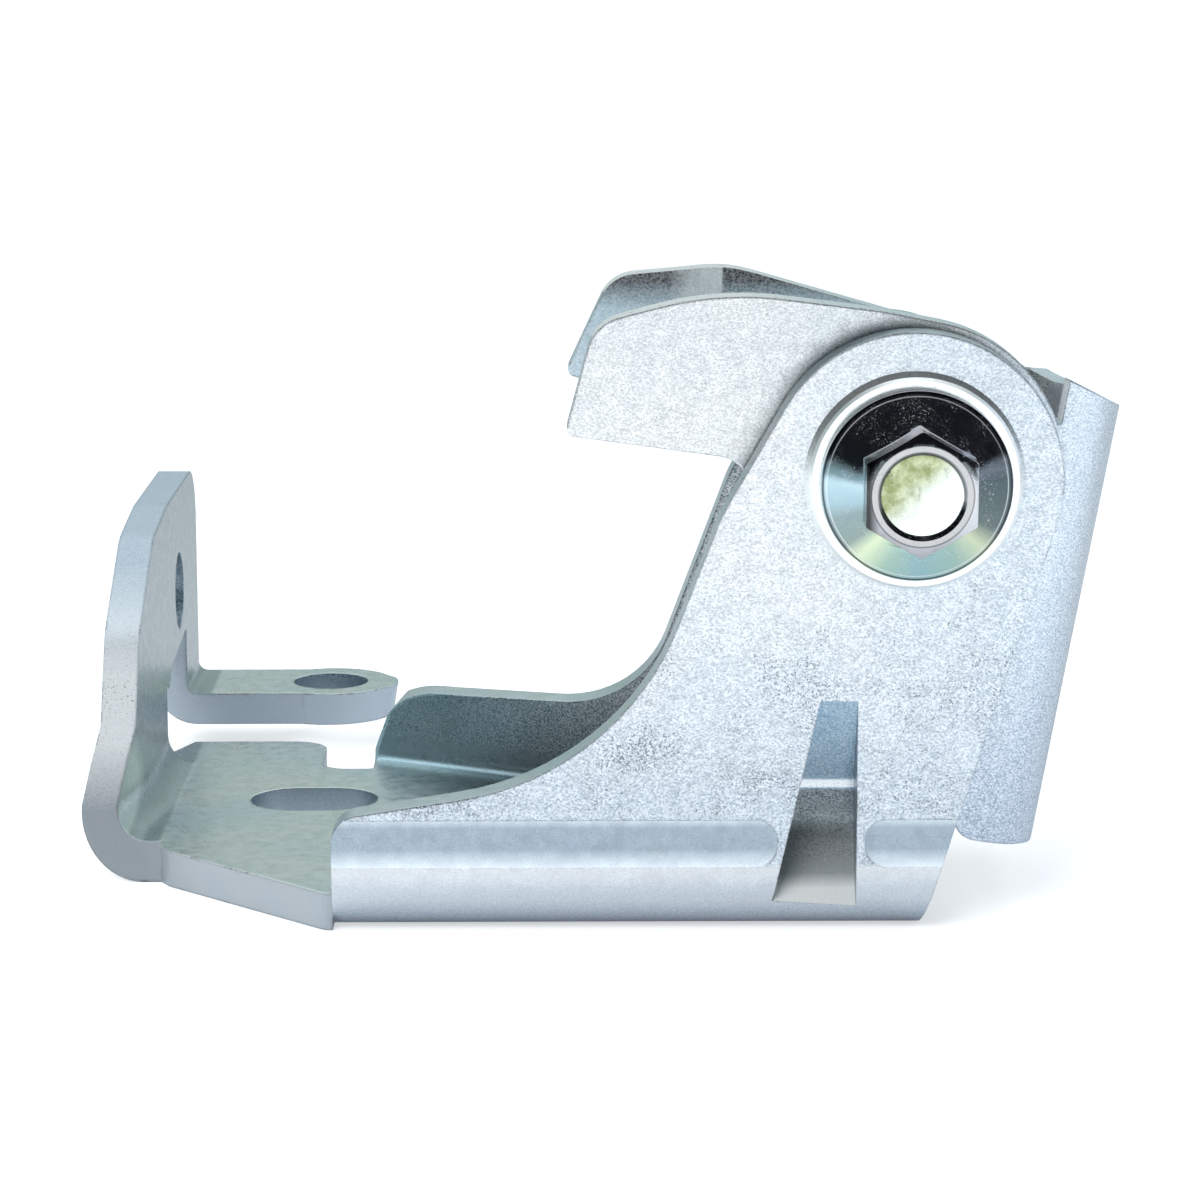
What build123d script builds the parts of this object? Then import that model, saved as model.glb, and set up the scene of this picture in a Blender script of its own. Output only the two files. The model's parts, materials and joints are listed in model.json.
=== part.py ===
from build123d import *
import math
import os

# Car door hinge: a stamped base bracket that bolts to the body, a stamped channel arm
# that carries the door, and a pivot bolt that clamps a sleeve between the two ears.
# Millimetres. X runs to the right of the side view, Y across the hinge, Z up.
# The origin lies on the underside of the base, on the mid-plane between the ears.

# Sheet and the room across the hinge
sheet = 4.6
base_gap = 42.3
bush_flange = 0.9
side_play = 0.1
bend_inner = 1.4
edge_break = 0.35

# Pivot
pivot_x = 37.5
pivot_z = 55.3

# Base bracket, near cheek
near_ear_radius = 17.8
foot_x = 39.0
near_end = (-32.4, 14.2)
near_end_round = 3.5
near_knee = (2.4, 19.6)
near_knee_round = 34.0
near_neck = (14.7, 51.4)
near_neck_round = 20.0

# Base bracket, far cheek, which flares away from the mid-plane towards the left
far_ear_radius = 14.9
far_end = (-31.0, 14.4)
far_end_round = 3.0
far_knee = (5.7, 16.4)
far_knee_round = 16.0
far_neck = (17.3, 48.8)
far_neck_round = 14.0
flare_x = 17.0
flare_angle = 29.0
flare_round = 16.0

# Base bracket, floor
floor_tip = (-33.4, -24.1)
floor_tip_round = 1.8
floor_corner = (-54.5, -3.6)
floor_corner_round = 4.0
floor_corner_rise = 2.2
floor_far_y = 58.4
floor_notch_y = 41.5
floor_notch_x = -38.2
floor_notch_right = -31.6
floor_notch_rounds = (1.5, 3.5)
floor_far_round = 5.0
floor_slot_at = (-37.9, 23.9)
floor_slot_length = 17.0
floor_slot_width = 12.5

# Base bracket, upright plate with its tab
upright_face_x = -64.3
upright_bend_inner = 4.0
upright_height = 40.2
upright_near_y = 5.2
upright_foot_lean = 1.0
upright_step = (8.6, 17.2)
upright_shoulder = (15.2, 29.2)
upright_shoulder_round = 8.0
upright_brow = (33.0, 38.6)
upright_brow_round = 14.0
upright_top_y = 50.0
upright_top_round = 12.0
upright_bulge = 2.1
upright_bulge_top = 18.1
upright_bulge_start = 3.0
upright_bulge_run = 16.0
upright_far_y = 88.6
upright_corner = 8.0
upright_hole_at = (63.9, 25.6)
relief_y = 45.2
relief_z = 12.6
relief_round = 2.6
relief_run = 7.0
relief_rise = 4.4
relief_lead = 6.0
slit_rise = 5.9
fill_near = (5.2, 4.0)
fill_far = 1.6
tab_near_y = 71.6
tab_slit = 1.2
tab_under_z = 4.2
tab_end_x = -30.0
tab_end_radius = 9.3
hole_diameter = 11.0

# Dart pressed into the near cheek, which stiffens the bend and stops the arm
dart_left_top = 26.6
dart_left_foot = 21.0
dart_right = 31.1
dart_top_z = 28.7
dart_valley_z = 18.6
dart_foot_z = 4.0
dart_foot_fall = 1.9
dart_depth = 5.0
dart_sag = (0.93, 0.42)
dart_wall = 2.4

# Bands coined flat along the near cheek
coin_low = 8.2
coin_high = 14.0
coin_depth = 0.25
coin_clear = 1.0
coin_rounding = 0.45

# Swing arm
web_reach = 24.2
web_tilt = 10.2
web_low = -43.1
web_top = 11.0
web_top_fall = 16.9
web_top_lean = 3.6
arm_bend_inner = 3.0
arm_ear_radius = 18.6
lobe_corner = (-4.0, 60.1)
lobe_top = (-0.4, 73.5)
lobe_top_round = 5.0
lobe_crown = (14.5, 77.4)
lobe_crown_round = 40.0
lobe_back_clear = 1.4
lobe_back_angle = 100.4
lobe_back_round = 30.0
lobe_throat_clear = 2.0
lobe_throat_angle = 174.7
lobe_throat_round = 4.0
lobe_corner_round = 1.0
far_arm_ear_radius = 15.0
far_lobe_corner = (-4.1, 63.1)
far_lobe_top = (1.8, 75.7)
far_lobe_peak = (16.5, 77.0)
far_lobe_peak_round = 20.0
far_lobe_back = (49.5, 67.5)
far_lobe_back_round = 12.0
joggle_x = 17.0
joggle_run = 4.5
joggle_step = 1.5
joggle_round = 2.0
flange_foot_width = 2.2
flange_foot_round = 3.0
flange_angle = 262.0
web_hole_diameter = 9.0
web_hole_low = -30.0
web_hole_high = -2.0

# Pivot hardware
sleeve_outer = 12.0
bush_wall = 1.5
bush_flange_diameter = 22.0
running_gap = 0.04
seat_gap = 0.02
bolt_diameter = 8.0
bolt_hole_gap = 0.25
thread_gap = 0.03
ring_diameter = 26.4
ring_top_diameter = 25.3
ring_height = 1.8
flange_diameter = 22.7
flange_rim = 1.6
flange_cone_top = 15.2
flange_height = 4.2
hex_across = 13.0
head_height = 9.3
head_chamfer = 0.7
head_corner_fall = 1.1
head_dish_diameter = 10.4
head_dish = 0.45
washer_diameter = 20.0
washer_thickness = 1.6
nut_flange_diameter = 17.9
nut_flange_height = 1.5
nut_height = 8.0
nut_collar = 2.0
nut_collar_lead = 0.4
nut_collar_round = 0.8
thread_beyond_nut = 2.5
bolt_end_chamfer = 1.0

# Worked out from the sizes above
base_face_y = base_gap / 2 + sheet
arm_width = base_gap - 2 * (bush_flange + side_play)
arm_face_y = arm_width / 2
bend_outer = bend_inner + sheet
arm_bend_outer = arm_bend_inner + sheet
upright_bend_outer = upright_bend_inner + sheet
bush_bore = sleeve_outer + 2 * running_gap
bush_outer = bush_bore + 2 * bush_wall
tab_width = upright_far_y - tab_near_y
far_beyond = 200.0
overcut = 1.0


def across(face, low, high):
    """A side view in X and Z, drawn flat, made solid between two places along Y."""
    upright = Rot(90, 0, 0) * face
    return Pos(0, high, 0) * extrude(upright, high - low, dir=(0, -1, 0))


def along(face, low, high):
    """An end view in Y and Z, drawn flat, made solid between two places along X."""
    upright = Plane.YZ * face
    return Pos(low, 0, 0) * extrude(upright, high - low, dir=(1, 0, 0))


def corner_outline(points, rounds):
    """A closed outline through the points, with each corner rounded by its own radius."""
    return make_face(FilletPolyline(*points, radius=rounds, close=True).edges())


def ear_point(radius, angle):
    """A point on a circle about the pivot, in the side view."""
    turn = math.radians(angle)
    return (pivot_x + radius * math.cos(turn), pivot_z + radius * math.sin(turn))


def tangent_angle(point, radius, side):
    """Where on a circle about the pivot a line from the point touches it."""
    run = point[0] - pivot_x
    rise = point[1] - pivot_z
    spread = math.degrees(math.acos(radius / math.hypot(run, rise)))
    return math.degrees(math.atan2(rise, run)) + side * spread


def bend(inner, outer):
    """The quarter ring of a right-angle bend, in the corner right of and above its centre line."""
    ring = Circle(outer) - Circle(inner)
    return ring & (Pos(-outer / 2, -outer / 2) * Rectangle(outer, outer))


def cheek_face(end, end_round, knee, knee_round, neck, neck_round, ear_radius):
    """Side view of one cheek of the base: a low tail, a concave neck and a round ear."""
    foot = (foot_x, 0)
    left = tangent_angle(neck, ear_radius, -1) % 360
    right = tangent_angle(foot, ear_radius, 1)
    tail = (end[0], 0)
    rise = FilletPolyline(
        tail, end, knee, neck, ear_point(ear_radius, left),
        radius=[end_round, knee_round, neck_round],
    )
    over = CenterArc((pivot_x, pivot_z), ear_radius, right, left - right)
    down = Line(ear_point(ear_radius, right), foot)
    under = Line(foot, tail)
    return make_face([*rise.edges(), over.edge(), down.edge(), under.edge()])


def near_cheek():
    """The near cheek with its bend and a strip of floor."""
    outline = cheek_face(
        near_end, near_end_round, near_knee, near_knee_round,
        near_neck, near_neck_round, near_ear_radius,
    )
    centre_y = -base_face_y + bend_outer
    wall_top = pivot_z + near_ear_radius + sheet
    wall = Pos(-base_face_y + sheet / 2, (bend_outer + wall_top) / 2) * Rectangle(
        sheet, wall_top - bend_outer
    )
    section = wall + Pos(centre_y, bend_outer) * bend(bend_inner, bend_outer)
    strip = along(section, near_end[0], pivot_x + near_ear_radius + sheet)
    return strip & across(outline, -far_beyond, far_beyond)


def far_cheek():
    """The far cheek and its bend, swept along the flared plan line of its inner face."""
    outline = cheek_face(
        far_end, far_end_round, far_knee, far_knee_round,
        far_neck, far_neck_round, far_ear_radius,
    )
    inner_y = base_gap / 2
    reach = flare_x - far_end[0]
    start = (far_end[0], inner_y + reach * math.tan(math.radians(flare_angle)))
    stop = (pivot_x + far_ear_radius + sheet, inner_y)
    plan = FilletPolyline(start, (flare_x, inner_y), stop, radius=[flare_round])
    wall_top = pivot_z + far_ear_radius + sheet
    wall = Pos(sheet / 2, (bend_outer + wall_top) / 2) * Rectangle(sheet, wall_top - bend_outer)
    turn = Pos(-bend_inner, bend_outer) * mirror(bend(bend_inner, bend_outer), Plane.YZ)
    floor = Pos(-bend_inner - sheet, sheet / 2) * Rectangle(2 * sheet, sheet)
    outward = Vector(math.sin(math.radians(flare_angle)), math.cos(math.radians(flare_angle)), 0)
    place = Plane(origin=plan @ 0, x_dir=outward, z_dir=plan % 0)
    wall_solid = sweep(place * (wall + turn + floor), path=plan)
    return wall_solid & across(outline, -far_beyond, far_beyond)


def floor_plate():
    """The flat floor, with its angled front edge, its slot and the step beside the tab."""
    near_y = -base_face_y + bend_outer
    far_y = base_gap / 2 - bend_inner - sheet
    flare_y = far_y + (flare_x - far_end[0]) * math.tan(math.radians(flare_angle))
    bend_x = upright_face_x + upright_bend_outer
    points = [
        (foot_x, near_y),
        (foot_x, far_y),
        (flare_x, far_y),
        (far_end[0], flare_y),
        (floor_notch_right, floor_notch_y),
        (floor_notch_x, floor_notch_y),
        (floor_notch_x, floor_far_y),
        (bend_x, floor_far_y),
        (bend_x, floor_corner[1] + floor_corner_rise),
        floor_corner,
        floor_tip,
        (near_end[0], floor_tip[1]),
        (near_end[0], near_y),
    ]
    corner_rounds = (floor_corner_round, floor_tip_round)
    rounds = [0, 0, 0, 0, *floor_notch_rounds, floor_far_round, 0, 0, *corner_rounds, 0, 0]
    plate = extrude(corner_outline(points, rounds), sheet)
    slot = SlotOverall(floor_slot_length, floor_slot_width)
    return plate - Pos(*floor_slot_at, 0) * extrude(slot, sheet)


def upright_plate():
    """The upright at the left end, its bend from the floor, and the tab bent off its far strip."""
    tab_bend_z = tab_under_z + bend_outer
    far = upright_far_y
    top = upright_height
    wall_points = [
        (upright_step[0], upright_bulge_top),
        upright_shoulder,
        upright_brow,
        (upright_top_y, top),
        (far, top),
        (far, tab_bend_z),
        (tab_near_y, tab_bend_z),
        (tab_near_y, relief_z + slit_rise),
        (tab_near_y - tab_slit, relief_z + slit_rise),
        (relief_y + relief_run, relief_z + relief_rise),
        (relief_y, relief_z),
        (relief_y, upright_bulge_top),
    ]
    slit_round = 0.46 * tab_slit
    wall_rounds = [
        0, upright_shoulder_round, upright_brow_round, upright_top_round, upright_corner,
        0, 0, slit_round, slit_round, relief_lead, relief_round, 0,
    ]
    wall = along(corner_outline(wall_points, wall_rounds), upright_face_x, upright_face_x + sheet)

    low_bend = upright_foot() & along(foot_trim(), upright_face_x - sheet, far_beyond)

    tab_bend_x = upright_face_x + bend_outer
    tab_turn = Pos(tab_bend_x, tab_bend_z) * bend(bend_inner, bend_outer)
    high_bend = across(tab_turn, tab_near_y, far)
    return wall + low_bend + high_bend + tab_plate(tab_bend_x) + relief_fillet()


def foot_section(bulge):
    """The bend from the floor to the upright, its wall pushed outward by a bulge low down."""
    face = upright_face_x
    centre = face + upright_bend_outer
    end = centre + sheet / 2
    low_outer = Line((end, 0), (centre - bulge, 0))
    turn_outer = CenterArc((centre - bulge, upright_bend_outer), upright_bend_outer, 180, 90)
    rise_outer = Line((face - bulge, upright_bend_outer), (face, upright_bulge_top))
    cap = Line((face, upright_bulge_top), (face + sheet, upright_bulge_top))
    rise_inner = Line((face + sheet, upright_bulge_top), (face + sheet - bulge, upright_bend_outer))
    turn_inner = CenterArc((centre - bulge, upright_bend_outer), upright_bend_inner, 180, 90)
    low_inner = Line((centre - bulge, sheet), (end, sheet))
    root = Line((end, sheet), (end, 0))
    return make_face([
        low_outer.edge(), turn_outer.edge(), rise_outer.edge(), cap.edge(),
        rise_inner.edge(), turn_inner.edge(), low_inner.edge(), root.edge(),
    ])


def upright_foot():
    """The bend bulges outward at its near end and runs out straight by the relief."""
    full = foot_section(upright_bulge)
    flat = foot_section(0)
    start_y = upright_near_y + upright_bulge_start
    end_y = upright_near_y + upright_bulge_run
    swell = across(full, floor_corner[1], start_y)
    fade = loft([Pos(0, start_y, 0) * Rot(90, 0, 0) * full, Pos(0, end_y, 0) * Rot(90, 0, 0) * flat])
    plain = across(flat, end_y, relief_y)
    return swell + fade + plain


def foot_trim():
    """End view of the upright's foot, which leans away from the floor's front corner."""
    return make_face(Polyline(
        (floor_corner[1] + floor_corner_rise, 0), (upright_near_y - upright_foot_lean, upright_bend_outer),
        (upright_near_y, upright_bulge_top - sheet), (upright_step[0], upright_bulge_top),
        (relief_y, upright_bulge_top), (relief_y, 0), close=True,
    ).edges())


def relief_fillet():
    """The floor between the upright's bend and the relief is filled to the floor's far edge."""
    bend_x = upright_face_x + upright_bend_outer
    tongue = make_face(Polyline(
        (bend_x, relief_y), (bend_x, floor_far_y), (bend_x - fill_far, floor_far_y),
        (bend_x - fill_near[0], relief_y + fill_near[1]), (bend_x - fill_near[0], relief_y),
        close=True,
    ).edges())
    roller = Pos(bend_x, upright_bend_outer) * Circle(upright_bend_outer)
    return extrude(tongue, sheet) & across(roller, relief_y, floor_far_y)


def tab_plate(start_x):
    """The tab with its rounded end and its hole."""
    mid_y = tab_near_y + tab_width / 2
    centre_x = tab_end_x - tab_end_radius
    strip = Pos((start_x + centre_x) / 2, mid_y) * Rectangle(centre_x - start_x, tab_width)
    face = strip + Pos(centre_x, mid_y) * Circle(tab_end_radius)
    hole = Pos(centre_x, mid_y) * Circle(hole_diameter / 2)
    return Pos(0, 0, tab_under_z) * extrude(face - hole, sheet)


def dart_side(offset, foot_z):
    """End view of the dart: a slope in, a valley and a rounded way out, moved in by an offset."""
    skin = -base_face_y + offset
    out = skin - sheet - offset
    depth = skin + dart_depth
    top_z = dart_top_z + offset / 2
    low_z = foot_z - offset / 4
    along_sag, up_sag = dart_sag
    slope = Polyline((out, top_z), (skin, top_z), (depth, dart_valley_z))
    scoop = ThreePointArc(
        (depth, dart_valley_z),
        (skin + along_sag * dart_depth, foot_z + up_sag * (dart_valley_z - foot_z)),
        (skin, low_z),
    )
    close = Polyline((skin, low_z), (out, low_z), (out, top_z))
    return make_face([*slope.edges(), scoop.edge(), *close.edges()])


def dart_trough(offset):
    """The dart's end view drawn along it, its foot falling towards the right."""
    left = Pos(dart_left_foot - sheet, 0, 0) * (Plane.YZ * dart_side(offset, dart_foot_z))
    right_foot = dart_foot_z - dart_foot_fall
    right = Pos(dart_right + sheet, 0, 0) * (Plane.YZ * dart_side(offset, right_foot))
    return loft([left, right], ruled=True)


def dart_front(offset):
    """Side view of the dart, grown by an offset."""
    low = -offset - overcut
    high = dart_top_z + 2 * offset + overcut
    lean = (dart_left_top - dart_left_foot) / (dart_top_z - dart_foot_z)
    points = [
        (dart_left_foot - offset + lean * (low - dart_foot_z), low),
        (dart_right + offset, low),
        (dart_right + offset, high),
        (dart_left_foot - offset + lean * (high - dart_foot_z), high),
    ]
    return make_face(Polyline(*points, close=True).edges())


def coined_bands():
    """The two shallow bands pressed along the near cheek above its bend, clear of the dart."""
    middle = (coin_low + coin_high) / 2
    height = coin_high - coin_low
    lean = (dart_left_top - dart_left_foot) / (dart_top_z - dart_foot_z)
    left_end = dart_left_foot + lean * (middle - dart_foot_z) - coin_clear
    right_end = dart_right + coin_clear
    spans = ((near_end[0] - sheet, left_end), (right_end, pivot_x + near_ear_radius))
    bands = []
    for index, (low, high) in enumerate(spans):
        flat = Pos((low + high) / 2, middle) * Rectangle(high - low, height)
        ends = flat.vertices().sort_by(Axis.X)
        flat = fillet(ends[2:] if index == 0 else ends[:2], height * coin_rounding)
        bands.append(across(flat, -base_face_y - overcut, -base_face_y + coin_depth))
    return bands


def base_bracket():
    """The whole stamping, one solid, with its bolt holes."""
    body = near_cheek() + far_cheek() + floor_plate() + upright_plate()
    for band in coined_bands():
        body -= band
    bulge = dart_trough(sheet) & across(dart_front(dart_wall), -base_face_y + bend_outer / 2, 0)
    pocket = dart_trough(0) & across(dart_front(0), -base_face_y - sheet, 0)
    body = body + bulge - pocket
    bolt_hole = Circle(bolt_diameter / 2 + bolt_hole_gap)
    body -= across(Pos(pivot_x, pivot_z) * bolt_hole, -base_face_y - overcut, base_face_y + overcut)
    fixing = Pos(*upright_hole_at) * Circle(hole_diameter / 2)
    body -= along(fixing, upright_face_x - overcut, upright_face_x + sheet + overcut)
    return body


def web_point(reach, rise):
    """A point in the side view, given in the arm's own directions from the pivot."""
    turn = math.radians(web_tilt)
    return (
        pivot_x + reach * math.cos(turn) + rise * math.sin(turn),
        pivot_z - reach * math.sin(turn) + rise * math.cos(turn),
    )


def in_arm(shape):
    """Moves a shape drawn about the pivot, with X along the reach, to the arm's tilt."""
    return Pos(pivot_x, 0, pivot_z) * Rot(0, web_tilt, 0) * shape


def above_arm():
    """What the arm's slanted top cut takes away: it falls outward and towards the far side."""
    block = Box(web_reach, 2 * arm_width, 2 * web_reach, align=(Align.CENTER, Align.CENTER, Align.MIN))
    return in_arm(Pos(web_reach, 0, web_top) * Rot(-web_top_lean, web_top_fall, 0) * block)


def arm_web():
    """The back web with a bend along each side, cut square at the bottom."""
    centre_x = web_reach - arm_bend_outer
    centre_y = arm_face_y - arm_bend_outer
    web = Pos(web_reach - sheet / 2, 0) * Rectangle(sheet, 2 * centre_y)
    quarter = bend(arm_bend_inner, arm_bend_outer)
    near_bend = Pos(centre_x, -centre_y) * Rot(0, 0, 90) * quarter
    far_bend = Pos(centre_x, centre_y) * Rot(0, 0, 180) * quarter
    column = Pos(0, 0, web_low) * extrude(web + near_bend + far_bend, web_reach - web_low)
    hole = Pos(web_reach - sheet, 0, 0) * Rot(0, 90, 0) * extrude(
        Circle(web_hole_diameter / 2), sheet
    )
    for rise in (web_hole_low, web_hole_high):
        column -= Pos(0, 0, rise) * hole
    return in_arm(column)


def lobe_throat():
    """Where the lobe's lower edge turns towards the round ear."""
    return ear_point(arm_ear_radius + lobe_throat_clear, lobe_throat_angle)


def lobe_back():
    """Where the lobe's upper edge turns into the round ear."""
    return ear_point(arm_ear_radius + lobe_back_clear, lobe_back_angle)


def arm_flange_points():
    """The flange between the ear and the web, from the ear's far side round to its near side."""
    tangent = web_reach - arm_bend_outer
    return [
        web_point(tangent, web_low),
        web_point(tangent - flange_foot_width, web_low),
        ear_point(arm_ear_radius, flange_angle),
    ]


def near_arm_face():
    """Side view of the near cheek: lobe, round ear, and the flange with a notch above it."""
    tangent = web_reach - arm_bend_outer
    ear = Pos(pivot_x, pivot_z) * Circle(arm_ear_radius)
    throat = tangent_angle(lobe_throat(), arm_ear_radius, 1)
    crest = tangent_angle(lobe_back(), arm_ear_radius, -1)
    lobe = corner_outline(
        [
            lobe_corner, lobe_throat(), ear_point(arm_ear_radius, throat), (pivot_x, pivot_z),
            ear_point(arm_ear_radius, crest), lobe_back(), lobe_crown, lobe_top,
        ],
        [
            lobe_corner_round, lobe_throat_round, 0, 0,
            0, lobe_back_round, lobe_crown_round, lobe_top_round,
        ],
    )
    flange = corner_outline(
        arm_flange_points() + [(pivot_x, pivot_z), web_point(tangent, arm_ear_radius / 2)],
        [0, flange_foot_round, 0, 0, 0],
    )
    return ear + lobe + flange


def far_arm_face():
    """Side view of the far cheek, which runs on without a notch to the top of the web."""
    tangent = web_reach - arm_bend_outer
    throat = tangent_angle(lobe_throat(), far_arm_ear_radius, 1)
    ear = Pos(pivot_x, pivot_z) * Circle(far_arm_ear_radius)
    plate = corner_outline(
        arm_flange_points() + [
            ear_point(far_arm_ear_radius, throat), lobe_throat(), far_lobe_corner, far_lobe_top,
            far_lobe_peak, far_lobe_back, web_point(tangent, web_top),
        ],
        [
            0, flange_foot_round, 0, 0, lobe_throat_round, lobe_corner_round, lobe_top_round,
            far_lobe_peak_round, far_lobe_back_round, 0,
        ],
    )
    return ear + plate


def far_arm_plan():
    """Plan view of the far cheek: straight past the pivot, stepped in at the joggle."""
    outer = arm_face_y
    step = outer - joggle_step
    points = [
        (pivot_x + web_reach, outer),
        (joggle_x, outer),
        (joggle_x - joggle_run, step),
        (lobe_corner[0] - sheet, step),
        (lobe_corner[0] - sheet, step - sheet),
        (joggle_x - joggle_run, step - sheet),
        (joggle_x, outer - sheet),
        (pivot_x + web_reach, outer - sheet),
    ]
    return corner_outline(points, [0, joggle_round, joggle_round, 0, 0, joggle_round, joggle_round, 0])


def swing_arm():
    """The whole arm, one solid, with the two bored ears."""
    near = across(near_arm_face(), -arm_face_y, -arm_face_y + sheet)
    far = extrude(far_arm_plan(), far_beyond) & across(far_arm_face(), 0, far_beyond)
    body = near + far + arm_web() - above_arm()
    bore = Circle(bush_outer / 2 + seat_gap)
    return body - across(Pos(pivot_x, pivot_z) * bore, -arm_width, arm_width)


def at_pivot(profile):
    """Turns a half profile, drawn with radius along X and depth along Y, about the pivot."""
    ring = revolve(profile, Axis.Y)
    return Pos(pivot_x, 0, pivot_z) * ring


def half_profile(points):
    """A closed half profile."""
    return make_face(Polyline(*points, close=True).edges())


def flanged_bush(side):
    """A flanged bush in one ear of the arm; its flange keeps the arm off the base."""
    inner = bush_bore / 2
    outer = bush_outer / 2
    face = arm_face_y
    points = [
        (inner, face - sheet), (outer, face - sheet), (outer, face + seat_gap),
        (bush_flange_diameter / 2, face + seat_gap),
        (bush_flange_diameter / 2, face + bush_flange), (inner, face + bush_flange),
    ]
    return at_pivot(half_profile([(radius, side * depth) for radius, depth in points]))


def pivot_sleeve():
    """The tube that the bolt clamps between the base's ears, and on which the arm turns."""
    inner = bolt_diameter / 2 + bolt_hole_gap
    outer = sleeve_outer / 2
    end = base_gap / 2
    return at_pivot(half_profile([
        (inner, -end), (outer - edge_break, -end), (outer, -end + edge_break),
        (outer, end - edge_break), (outer - edge_break, end), (inner, end),
    ]))


def seat_ring():
    """The thick ring between the bolt's flange and the near ear."""
    inner = bolt_diameter / 2 + bolt_hole_gap
    low = -base_face_y
    return at_pivot(half_profile([
        (inner, low), (ring_diameter / 2, low),
        (ring_top_diameter / 2, low - ring_height + edge_break),
        (ring_top_diameter / 2 - edge_break, low - ring_height), (inner, low - ring_height),
    ]))


def pivot_bolt():
    """The flange bolt, its head towards the near side."""
    seat = -base_face_y - ring_height
    top = seat - head_height
    shank = bolt_diameter / 2
    end = base_face_y + washer_thickness + nut_height + thread_beyond_nut
    rim = flange_diameter / 2
    body = at_pivot(half_profile([
        (0, seat - flange_height), (flange_cone_top / 2, seat - flange_height),
        (rim, seat - flange_rim), (rim, seat - edge_break), (rim - edge_break, seat),
        (shank, seat), (shank, end - bolt_end_chamfer), (shank - bolt_end_chamfer, end), (0, end),
    ]))
    hexagon = Pos(pivot_x, pivot_z) * RegularPolygon(
        hex_across / 2, 6, major_radius=False, rotation=30
    )
    corner = hex_across / math.cos(math.radians(30)) / 2
    crown = at_pivot(half_profile([
        (0, seat - flange_rim), (corner + overcut, seat - flange_rim),
        (corner + overcut, top + head_corner_fall), (hex_across / 2 - head_chamfer, top), (0, top),
    ]))
    head = across(hexagon, top, seat - flange_rim) & crown
    dish = at_pivot(half_profile([
        (0, top), (head_dish_diameter / 2, top),
        (head_dish_diameter / 2 - head_dish, top + head_dish), (0, top + head_dish),
    ]))
    return body + head - dish


def far_washer():
    """The plain washer under the nut."""
    inner = bolt_diameter / 2 + bolt_hole_gap
    low = base_face_y
    high = low + washer_thickness
    outer = washer_diameter / 2
    return at_pivot(half_profile([
        (inner, low), (outer, low), (outer, high - edge_break), (outer - edge_break, high),
        (inner, high),
    ]))


def lock_nut():
    """The flanged lock nut on the far side, with a round collar above its hexagon."""
    low = base_face_y + washer_thickness
    high = low + nut_height
    collar = high - nut_collar
    crown = hex_across / 2 - nut_collar_lead
    inner = bolt_diameter / 2 + thread_gap
    flange = at_pivot(half_profile([
        (inner, low), (nut_flange_diameter / 2, low),
        (nut_flange_diameter / 2, low + nut_flange_height / 2),
        (hex_across / 2, low + nut_flange_height), (crown, high - nut_collar_round),
        (crown - nut_collar_round, high), (inner, high),
    ]))
    hexagon = Pos(pivot_x, pivot_z) * RegularPolygon(
        hex_across / 2, 6, major_radius=False, rotation=30
    )
    bore = Pos(pivot_x, pivot_z) * Circle(inner)
    return flange + across(hexagon - bore, low + nut_flange_height / 2, collar)


def write_parts():
    """Writes one STEP file per piece."""
    pieces = {
        "base_bracket": base_bracket(),
        "swing_arm": swing_arm(),
        "near_bush": flanged_bush(-1),
        "far_bush": flanged_bush(1),
        "pivot_sleeve": pivot_sleeve(),
        "seat_ring": seat_ring(),
        "pivot_bolt": pivot_bolt(),
        "far_washer": far_washer(),
        "lock_nut": lock_nut(),
    }
    os.makedirs("parts", exist_ok=True)
    for name, shape in pieces.items():
        export_step(shape, f"parts/{name}.step")


write_parts()
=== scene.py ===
import bmesh
import bpy
import json
import math
from mathutils import Euler, Matrix, Vector


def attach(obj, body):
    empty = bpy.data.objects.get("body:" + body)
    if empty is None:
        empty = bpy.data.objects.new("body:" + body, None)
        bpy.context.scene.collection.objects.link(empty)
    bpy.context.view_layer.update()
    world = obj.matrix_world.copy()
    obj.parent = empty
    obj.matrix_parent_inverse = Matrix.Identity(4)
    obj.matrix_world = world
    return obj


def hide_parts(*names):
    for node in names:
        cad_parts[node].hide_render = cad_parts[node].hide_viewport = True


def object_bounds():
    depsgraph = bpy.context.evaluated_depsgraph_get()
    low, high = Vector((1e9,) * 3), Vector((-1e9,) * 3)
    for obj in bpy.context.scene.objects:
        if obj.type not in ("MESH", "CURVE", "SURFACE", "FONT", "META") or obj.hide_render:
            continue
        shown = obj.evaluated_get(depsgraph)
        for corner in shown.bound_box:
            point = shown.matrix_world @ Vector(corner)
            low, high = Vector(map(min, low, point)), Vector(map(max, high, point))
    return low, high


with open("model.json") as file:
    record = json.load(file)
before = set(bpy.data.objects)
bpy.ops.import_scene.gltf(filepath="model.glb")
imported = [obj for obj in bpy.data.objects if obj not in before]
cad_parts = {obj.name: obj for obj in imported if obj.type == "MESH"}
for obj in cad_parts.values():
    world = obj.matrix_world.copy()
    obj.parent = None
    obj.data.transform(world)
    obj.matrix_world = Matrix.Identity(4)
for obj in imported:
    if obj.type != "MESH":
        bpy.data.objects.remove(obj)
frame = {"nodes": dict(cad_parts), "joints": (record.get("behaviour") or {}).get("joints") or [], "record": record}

cad_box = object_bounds()
mm = 0.001
white = (1.0, 1.0, 1.0)
black = (0.0, 0.0, 0.0)

# Places that the frame gives: the pivot in metres, and the holes and the slot in millimetres
pivot = frame["joints"][0]["pos_m"]
bolt_axis = (pivot[0], pivot[2])
mounts = {
    mount["name"]: [value / mm for value in mount["pos_m"]]
    for mount in frame["record"]["mounts"]
}
tab_hole = mounts["tab_hole"]
upright_hole = mounts["upright_hole"]
floor_slot = mounts["floor_slot"]

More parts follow.
